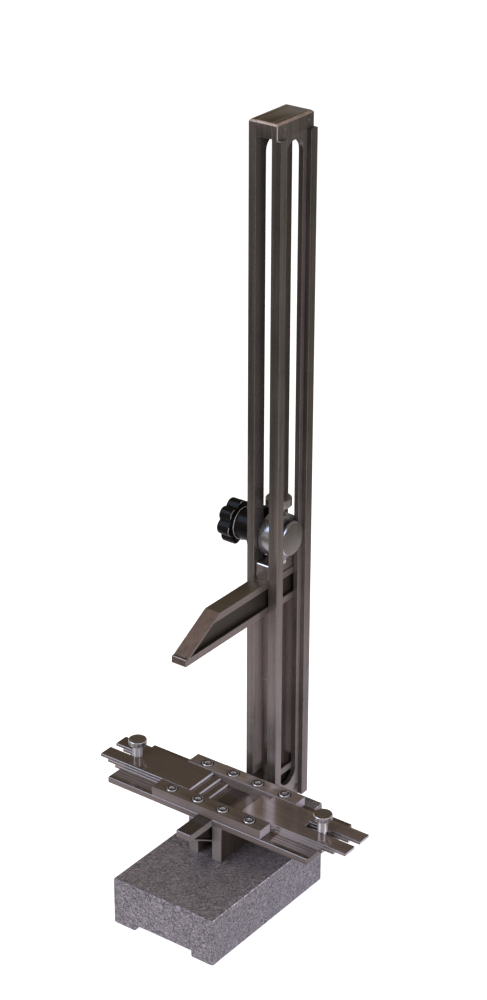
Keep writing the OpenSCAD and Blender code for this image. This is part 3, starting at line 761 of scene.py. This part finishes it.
class FIXTURE_OT_stage(bpy.types.Operator):
    """Sets the pale floor, the soft lamps, the world and the camera"""

    bl_idname = "fixture.stage"
    bl_label = "Stage"

    def execute(self, context):
        stage = settings()[2]
        self.floor(stage)
        self.world()
        for row in SOFTBOXES:
            self.softbox(*row)
        self.camera(stage)
        context.scene.view_settings.view_transform = "Standard"
        return {"FINISHED"}

    def floor(self, stage):
        half = stage.floor_half
        mesh = bpy.data.meshes.new("floor")
        corners = [(-half, -half, 0), (half, -half, 0), (half, half, 0), (-half, half, 0)]
        mesh.from_pydata(corners, [], [(0, 1, 2, 3)])
        floor = placed("floor", mesh)
        floor.location.z = -0.05 * MM
        mesh.materials.append(self.floor_material(stage))

    def floor_material(self, stage):
        """White to the camera, with the shadow; reflections see a lit pool that fades to a dark room."""
        tree = Tree(bpy.data.materials.new("pale_floor"))
        rays = tree.add("LightPath").outputs
        diffuse = tree.add("BsdfDiffuse", Color=(0.8, 0.8, 0.8, 1.0))
        seen = tree.add("Emission", Color=(0.71, 0.735, 0.77, 1.0))
        tree.link(rays["Is Camera Ray"], seen.inputs["Strength"])
        direct = tree.add("AddShader")
        tree.link(diffuse.outputs[0], direct.inputs[0])
        tree.link(seen.outputs[0], direct.inputs[1])
        towards_camera = (0, 0, stage.azimuth - math.pi / 2)
        turned_place = tree.add(
            "Mapping", vector_type="TEXTURE", Rotation=towards_camera, Scale=(stage.pool_stretch, 1, 1)
        )
        tree.link(tree.add("TexCoord").outputs["Object"], turned_place.inputs["Vector"])
        place = turned_place.outputs["Vector"]
        side = tree.parts(place)["Y"]
        near_side = tree.spread(side, -0.4, 0.4, 0.85, 1.0)
        far_left = tree.spread(side, -0.95, -0.62, 0.42, 1.0)
        glow = tree.add("Emission")
        distance = tree.spread(tree.vector("LENGTH", place), 0.0, stage.pool_reach)
        tree.link(tree.ramp(distance, POOL_TONES), glow.inputs["Color"])
        tree.link(tree.math("MULTIPLY", near_side, far_left), glow.inputs["Strength"])
        reflected = tree.math("MAXIMUM", rays["Is Glossy Ray"], rays["Is Transmission Ray"])
        tree.finish(tree.mixed(reflected, direct.outputs[0], glow.outputs[0]))
        return tree.owner

    def facing(self, tree, direction, towards, low, high):
        """From 0 to 1 as a direction comes within the angles low..high, in degrees, of another."""
        dot = tree.vector("DOT_PRODUCT", direction, Vector(towards).normalized())
        return tree.spread(dot, math.cos(math.radians(low)), math.cos(math.radians(high)))

    def world(self):
        """White to the camera; reflections see a dim room with two bluish lamps above."""
        world = bpy.data.worlds.new("studio")
        bpy.context.scene.world = world
        tree = Tree(world)
        rays = tree.add("LightPath").outputs
        direction = tree.add("TexCoord").outputs["Generated"]
        room = tree.ramp(tree.spread(tree.parts(direction)["Z"], -0.1, 1.0), ROOM_TONES)
        dark = self.facing(tree, direction, DARK_SIDE, 50, 20)
        reflected = tree.vector("SCALE", room, tree.spread(dark, 0.0, 1.0, 1.0, 0.3))
        for towards, wide, narrow, strength in REFLECTED_LAMPS:
            lit = self.facing(tree, direction, towards, wide, narrow)
            glow = tree.vector("SCALE", [channel * strength for channel in REFLECTED_TINT], lit)
            reflected = tree.vector("ADD", reflected, glow)
        glossy = tree.add("Background")
        tree.link(reflected, glossy.inputs["Color"])
        plain = tree.add("Background")
        clear = tree.math("MAXIMUM", rays["Is Camera Ray"], rays["Is Transmission Ray"])
        tree.link(tree.ramp(clear, [(0.0, ROOM_FILL), (1.0, grey(1.0))]), plain.inputs["Color"])
        tree.finish(tree.mixed(rays["Is Glossy Ray"], plain.outputs[0], glossy.outputs[0]), "World")

    def softbox(self, name, place, size, power, tint):
        """A lamp for the painted and black surfaces; the world shader holds what metal reflects."""
        light = bpy.data.lights.new(name, "AREA")
        light.shape = "SQUARE"
        light.size = size
        light.energy = power
        light.color = tint
        lamp = placed(name, light)
        lamp.location = place
        low, high = (Vector(corner) for corner in CAD_BOX)
        lamp.rotation_euler = ((low + high) / 2 - Vector(place)).to_track_quat("-Z", "Y").to_euler()
        lamp.visible_glossy = False

    def camera(self, stage):
        data = bpy.data.cameras.new("camera")
        data.lens = stage.lens
        data.sensor_width = 36.0
        data.clip_end = 100.0
        camera = placed("camera", data)
        turn = Matrix.Rotation(stage.azimuth, 4, "Z") @ Matrix.Rotation(math.pi / 2 - stage.elevation, 4, "X")
        camera.matrix_world = Matrix.Translation(stage.eye) @ turn @ Matrix.Rotation(stage.roll, 4, "Z")
        bpy.context.scene.camera = camera


class FIXTURE_OT_casting(bpy.types.Operator):
    """Paints the base casting in hammertone, with its edges rounded and a painted highlight on the edges
    between its top and its right side
    """

    bl_idname = "fixture.casting"
    bl_label = "Casting"

    def execute(self, context):
        casting = dressed("base_casting", "hammertone_paint", settings()[0].cast_round, steps=3)
        # Painted highlight: the rounded edges between the top and the right side are painted much lighter.
        sloping = 0.55
        refinish(casting, "paint_edge", lambda face: min(face.normal.x, face.normal.z) > sloping)
        return {"FINISHED"}


class FIXTURE_OT_bed(bpy.types.Operator):
    """Finishes the cheeks, the bed plates, the strips and the steady plates"""

    bl_idname = "fixture.bed"
    bl_label = "Bed"

    def execute(self, context):
        width = settings()[0].edge_break
        plate_break = 1.2 * width
        for side in ("left", "right"):
            refinish(dressed(side + "_cheek", "cheek_steel", width), "jaw_side", faces_along_y)
            refinish(dressed(side + "_bed_plate", "bed_plates", width), "side_steel", faces_level)
            for layer in ("bottom", "middle", "top"):
                edge = "column_edge" if side == "left" else "dull_edge"
                plate = dressed(f"{side}_slide_{layer}", side + "_plates", plate_break, edge=edge)
                refinish(plate, "sawn_end", faces_along_x)
                if side == "left":
                    refinish(plate, "riser", lambda face: face.normal.x > SQUARE_ON)
                elif layer == "bottom":
                    refinish(plate, "right_bottom", faces_up)
        for strip, finish in (("front_strip", "bed_steel"), ("rear_strip", "rear_strip_steel")):
            piece = dressed(strip, finish, width, edge="dull_edge")
            refinish(piece, "side_steel", faces_along_y)
            refinish(piece, "sawn_end", faces_along_x)
            low, high = (corner.copy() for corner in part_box(strip))
            # Painted shade on the walls of the bores.
            refinish(piece, "pocket_steel", lambda face: self.in_bore(face, low, high))
        return {"FINISHED"}

    def in_bore(self, face, low, high):
        """Whether a face is the wall of a hole that goes down through a strip."""
        inside = low.x + MM < face.center.x < high.x - MM and low.y + MM < face.center.y < high.y - MM
        return inside and abs(face.normal.z) < UPRIGHT


class FIXTURE_OT_fasteners(bpy.types.Operator):
    """Finishes the cap screws, the bolts and the dowels"""

    bl_idname = "fixture.fasteners"
    bl_label = "Screws, bolts and dowels"

    def execute(self, context):
        width = settings()[0].fine_break
        for node in ("strip_screws_long", "strip_screws_short"):
            shape = welded(node)
            self.round_heads(shape, settings()[0].head_round)
            break_edges(shape, width, 2)
            piece = show(as_mesh(shape, node + "_finished"), node, "bright_steel")
            # Painted shade on the tops of the strip screws' heads.
            refinish(piece, "pocket_steel", faces_up)
        for node in ("cheek_screws", "jaw_clamp_bolts", "column_foot_bolts", "cap_dowels", "saddle_dowels"):
            dressed(node, "plain_steel", width, steps=2)
        # The grub screw is painted near white as a glint.
        dressed("saddle_grub_screw", "fresh_edge", width * 0.5, steps=2)
        return {"FINISHED"}

    def round_heads(self, shape, radius):
        """Rounds the heads' outer rims, which are at the top of a wall that is deeper than the socket."""
        top = max(vertex.co.z for vertex in shape.verts)
        socket_depth, same_height, steep = 4.5 * MM, 0.01 * MM, 0.5
        rims = []
        for edge in shape.edges:
            level = all(abs(vertex.co.z - top) < same_height for vertex in edge.verts)
            if level and any(face.normal.z < steep for face in edge.link_faces) and edge.is_convex:
                side = min(edge.link_faces, key=lambda face: face.normal.z)
                if min(vertex.co.z for vertex in side.verts) < top - socket_depth:
                    rims.append(edge)
        bevel(shape, rims, radius, steps=4, clamp=True)


class FIXTURE_OT_column(bpy.types.Operator):
    """Finishes the column sides, the cap and the slip gauges"""

    bl_idname = "fixture.column"
    bl_label = "Column and slip gauges"

    def execute(self, context):
        width = settings()[0].edge_break
        low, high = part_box("column_cap")
        top = high.z
        for node in ("left_column_side", "right_column_side", "column_cap"):
            side = dressed(node, "column_steel", width, edge="column_edge")
            # The front faces carry a painted reflection that darkens upwards.
            refinish(side, "column_front", faces_front)
            # Painted shade on the column's top faces.
            refinish(side, "jaw_top", lambda face: faces_up(face) and face.center.z > top - 1 * MM)
            refinish(side, "cap_edge", lambda face: self.top_edge(face, top))
            # Painted highlight down the front corner of the column's head.
            refinish(side, "fresh_edge", lambda face: self.front_corner(face, high.x, top))
            refinish(side, "column_inner", lambda face: self.inside(face, low.x, high.x))
            refinish(side, "relief_steel", lambda face: self.in_relief(face, high.x))
        for node in ("slip_gauge_lower", "slip_gauge_upper"):
            dressed(node, "gauge_steel", width * 0.8, edge="column_edge")
        return {"FINISHED"}

    def top_edge(self, face, top):
        """Whether a face is one of the broken edges round the column's top."""
        edge_depth, least_slope, most_slope = 3 * MM, 0.3, 0.95
        return face.center.z > top - edge_depth and least_slope < face.normal.z < most_slope

    def front_corner(self, face, right, top):
        """Whether a face is the corner down the front of the column's head, which gets a painted highlight.
        """
        worn_length, least_slope = 12 * MM, 0.3
        corner = min(face.normal.x, -face.normal.y) > least_slope and abs(face.normal.z) < UPRIGHT
        return corner and face.center.z > top - worn_length and face.center.x > right

    def inside(self, face, left, right):
        """Whether a face is one of the inner faces of the sides."""
        slack = 0.5 * MM
        return faces_along_x(face) and left - slack < face.center.x < right + slack

    def in_relief(self, face, right):
        """Whether a face is the floor of the relief between the ribs."""
        nearest, farthest = right + 4 * MM, right + 5.4 * MM
        return face.normal.x > SQUARE_ON and nearest < face.center.x < farthest


class FIXTURE_OT_jaws(bpy.types.Operator):
    """Finishes the two jaws and the saddle block"""

    bl_idname = "fixture.jaws"
    bl_label = "Jaws"

    def execute(self, context):
        sizes = settings()[0]
        sloping = 0.3
        for node in ("lower_jaw", "upper_jaw"):
            jaw = dressed(node, "jaw_steel", sizes.edge_break, edge="column_edge")
            if node == "upper_jaw":
                # Painted shade on the jaw's top faces.
                refinish(jaw, "jaw_top", faces_up)
                refinish(jaw, "cheek_steel", faces_front)
                refinish(jaw, "jaw_nose", lambda face: min(-face.normal.y, face.normal.z) > sloping)
                self.darken_pockets(jaw)
            else:
                refinish(jaw, "jaw_side", faces_along_x)
                self.darken_pockets(jaw)
                # Painted shade on the jaw's upper face.
                refinish(jaw, "jaw_face", faces_up)
        low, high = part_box("pressing_screw")
        hole = (low.xy + high.xy) / 2
        rim = 1.5 * MM
        near = sizes.press_shank + rim

        def round_the_hole(edge):
            return all((vertex.co.xy - hole).length < near for vertex in edge.verts)

        # The saddle block's chamfers carry a painted highlight.
        dressed("saddle_block", "jaw_steel", sizes.block_break, edge="fresh_edge", spared=round_the_hole)
        return {"FINISHED"}

    def darken_pockets(self, jaw):
        """Gives the faces that lie inside the jaw's sides, on one side of its middle, the pockets' painted
        shade.
        """
        places = [vertex.co.x for vertex in jaw.data.vertices]
        low, high = min(places), max(places)
        middle = (low + high) / 2

        def in_pocket(polygon):
            flank = [places[index] for index in polygon.vertices]
            one_sided = max(flank) < middle or min(flank) > middle
            return one_sided and low + MM < polygon.center.x < high - MM

        refinish(jaw, "pocket_steel", in_pocket)


STEPS_PER_LOBE = 28  # vertices round one lobe of the knob


class FIXTURE_OT_clamp(bpy.types.Operator):
    """Finishes the carriage barrel, the clamp disc, the washer, the stud and the star knob"""

    bl_idname = "fixture.clamp"
    bl_label = "Clamp"

    def execute(self, context):
        sizes = settings()[0]
        dressed("carriage_barrel", "barrel_steel", sizes.fine_break, steps=2)
        refinish(dressed("clamp_disc", "barrel_steel", sizes.fine_break, steps=2), "disc_face", faces_along_x)
        dressed("clamp_washer", "black_oxide", sizes.fine_break, steps=2)
        dressed("clamp_stud", "plain_steel", sizes.fine_break, steps=2)
        self.knob(sizes)
        return {"FINISHED"}

    def knob(self, sizes):
        """The lobed head, pointing away from the column, and its hub."""
        low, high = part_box("star_knob")
        stud_low, stud_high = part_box("clamp_stud")
        middle = (stud_low + stud_high) / 2
        shape = bmesh.new()
        rows = self.stations(low.x, high.x, sizes)
        rings = [self.ring(shape, middle, sizes, *row[:3]) for row in rows]
        highlight_reach = sizes.knob_reach - 1.3 * MM  # the rim gets a painted highlight beyond this
        for near, far, (_, radius, _, worn) in zip(rings, rings[1:], rows):
            count = len(near)
            for step in range(count):
                after = (step + 1) % count
                face = shape.faces.new((near[step], near[after], far[after], far[step]))
                out = self.outline(2 * math.pi * step / count + sizes.knob_turn, sizes) > highlight_reach
                # worn marks the rings whose faces get the painted highlight.
                face.material_index = int(worn and (out or radius is not None))
        shape.faces.new(rings[0])
        shape.faces.new(rings[-1])
        bmesh.ops.recalc_face_normals(shape, faces=shape.faces)
        mesh = as_mesh(shape, "star_knob_moulded", math.radians(40))
        show(mesh, "star_knob", "black_plastic", "worn_plastic")

    def stations(self, start, end, sizes):
        """Rings of the knob from its outer end: place on X, radius or None for lobes, inset, painted
        highlight or not.
        """
        front, back, hub = sizes.knob_front, sizes.knob_back, sizes.knob_hub
        inner = start + sizes.knob_head
        recess, rim, collar, end_break = 1.6 * MM, 0.3 * MM, hub + 0.9 * MM, 1.0 * MM
        rows = [
            (start + recess, 0.3 * hub, 0.0, False),
            (start + recess, 0.6 * hub, 0.0, False),
            (start + rim, 0.7 * hub, 0.0, False),
        ]
        steps = 6
        turns = [math.pi / 2 * step / steps for step in range(steps + 1)]
        rows += [
            (start + front * (1 - math.cos(turn)), None, front * (1 - math.sin(turn)), False)
            for turn in turns
        ]
        rows += [
            (inner - back * (1 - math.sin(turn)), None, back * (1 - math.cos(turn)), step in (2, 3))
            for step, turn in enumerate(turns)
        ]
        rows += [
            (inner + 0.05 * MM, collar, 0.0, False),
            (inner + 1.3 * MM, collar, 0.0, True),
            (inner + 1.8 * MM, hub + 0.4 * MM, 0.0, False),
            (inner + 2.2 * MM, hub, 0.0, False),
            (end - end_break, hub, 0.0, False),
            (end, hub - end_break, 0.0, False),
        ]
        return rows

    def outline(self, angle, sizes):
        """Distance of the lobed outline from the axis: wide round lobes with narrow flutes between them."""
        half = math.pi / sizes.knob_lobes
        lobe = sizes.knob_lobe
        centre = sizes.knob_reach - lobe

        def lobed(off):
            return centre * math.cos(off) + math.sqrt(max(0.0, lobe**2 - (centre * math.sin(off)) ** 2))

        off = abs((angle - sizes.knob_turn + half) % (2 * half) - half)
        fillet = 0.2 * half
        if half - off >= fillet:
            return lobed(off)
        slope = (lobed(half - fillet * 1.01) - lobed(half - fillet * 0.99)) / (0.02 * fillet)
        return lobed(half - fillet) - slope * fillet / 2 * (1 - ((half - off) / fillet) ** 2)

    def ring(self, shape, middle, sizes, place, radius, inset):
        """One ring of vertices round the knob's axis."""
        steps = sizes.knob_lobes * STEPS_PER_LOBE
        ring = []
        for step in range(steps):
            angle = 2 * math.pi * step / steps + sizes.knob_turn
            reach = self.outline(angle, sizes) - inset if radius is None else radius
            y, z = middle.y + reach * math.cos(angle), middle.z + reach * math.sin(angle)
            ring.append(shape.verts.new((place, y, z)))
        return ring


class FIXTURE_OT_turned_screws(bpy.types.Operator):
    """Turns the thumb screws and the pressing screw with rounded edges"""

    bl_idname = "fixture.turned_screws"
    bl_label = "Thumb screws and pressing screw"

    def execute(self, context):
        sizes = settings()[0]
        for side in ("left", "right"):
            self.thumb_screw(side, sizes)
        self.pressing_screw(sizes)
        return {"FINISHED"}

    def turn(self, node, corners, round_off, finish):
        """Turns a profile about the vertical axis through the middle of a node."""
        low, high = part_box(node)
        axis = Vector(((low.x + high.x) / 2, (low.y + high.y) / 2, 0))
        mesh = turned(node + "_turned", rounded(corners, round_off), axis, settings()[0].turning_steps)
        piece = show(mesh, node, finish)
        # Painted shade on the tops of the heads.
        refinish(piece, "head_top", faces_up)
        return piece

    def thumb_screw(self, side, sizes):
        node = side + "_thumb_screw"
        low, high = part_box(node)
        radius = (high.x - low.x) / 2
        top = high.z
        plate_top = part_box(side + "_slide_top")[1].z
        under = top - sizes.thumb_head
        collar, shank = sizes.thumb_collar, sizes.thumb_shank
        cone_width, cone_height = 3 * MM, 2.6 * MM
        rim_width, rim_height = 0.7 * MM, 0.5 * MM
        corners = [
            (low.z, 0), (low.z, shank), (plate_top, shank), (plate_top, collar), (under, collar),
            (under, radius - cone_width), (under + cone_height, radius), (top - rim_height, radius),
            (top, radius - rim_width), (top, 0),
        ]
        piece = self.turn(node, corners, 0.35 * MM, "bright_steel")
        rim_low = under + 0.5 * MM
        refinish(piece, "thumb_rim", lambda face: face.center.z > rim_low and abs(face.normal.z) < UPRIGHT)

    def pressing_screw(self, sizes):
        node = "pressing_screw"
        low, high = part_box(node)
        radius = (high.x - low.x) / 2
        neck_clear, groove_play, groove_depth, head_break = 2.5 * MM, 0.2 * MM, 1.1 * MM, 1 * MM
        neck_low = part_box("carriage_barrel")[1].z + neck_clear
        head_low = high.z - sizes.press_head
        grub_low, grub_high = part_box("saddle_grub_screw")
        groove_low, groove_high = grub_low.z - groove_play, grub_high.z + groove_play
        neck, shank = sizes.press_neck, sizes.press_shank
        groove = shank - groove_depth
        corners = [
            (low.z, 0), (low.z, shank), (groove_low, shank), (groove_low, groove), (groove_high, groove),
            (groove_high, shank), (neck_low, shank), (neck_low, neck), (head_low, neck),
            (head_low, radius - head_break), (head_low + head_break, radius),
            (high.z - head_break, radius), (high.z, radius - head_break), (high.z, 0),
        ]
        self.turn(node, corners, 0.3 * MM, "screw_steel")


STEPS = (
    FIXTURE_OT_stage,
    FIXTURE_OT_casting,
    FIXTURE_OT_bed,
    FIXTURE_OT_fasteners,
    FIXTURE_OT_column,
    FIXTURE_OT_jaws,
    FIXTURE_OT_clamp,
    FIXTURE_OT_turned_screws,
)


class FIXTURE_PT_panel(bpy.types.Panel):
    """Lists the steps and the values of the fixture"""

    bl_idname = "FIXTURE_PT_panel"
    bl_label = "Bore gauge setting fixture"
    bl_space_type = "VIEW_3D"
    bl_region_type = "UI"
    bl_category = "Fixture"

    def draw(self, context):
        layout = self.layout
        for step in STEPS:
            layout.operator(step.bl_idname)
        for group in settings():
            for name in group.__annotations__:
                layout.prop(group, name)


GROUPS = (FixtureSizes, FixtureColours, FixtureStage)
CLASSES = GROUPS + STEPS + (FIXTURE_PT_panel,)


def register():
    for item in CLASSES:
        bpy.utils.register_class(item)
    bpy.types.Scene.fixture_sizes = PointerProperty(type=FixtureSizes)
    bpy.types.Scene.fixture_colours = PointerProperty(type=FixtureColours)
    bpy.types.Scene.fixture_stage = PointerProperty(type=FixtureStage)


def unregister():
    del bpy.types.Scene.fixture_stage
    del bpy.types.Scene.fixture_colours
    del bpy.types.Scene.fixture_sizes
    for item in reversed(CLASSES):
        bpy.utils.unregister_class(item)


def main():
    register()
    for step in STEPS:
        group, name = step.bl_idname.split(".")
        getattr(getattr(bpy.ops, group), name)()


if __name__ == "__main__":
    main()
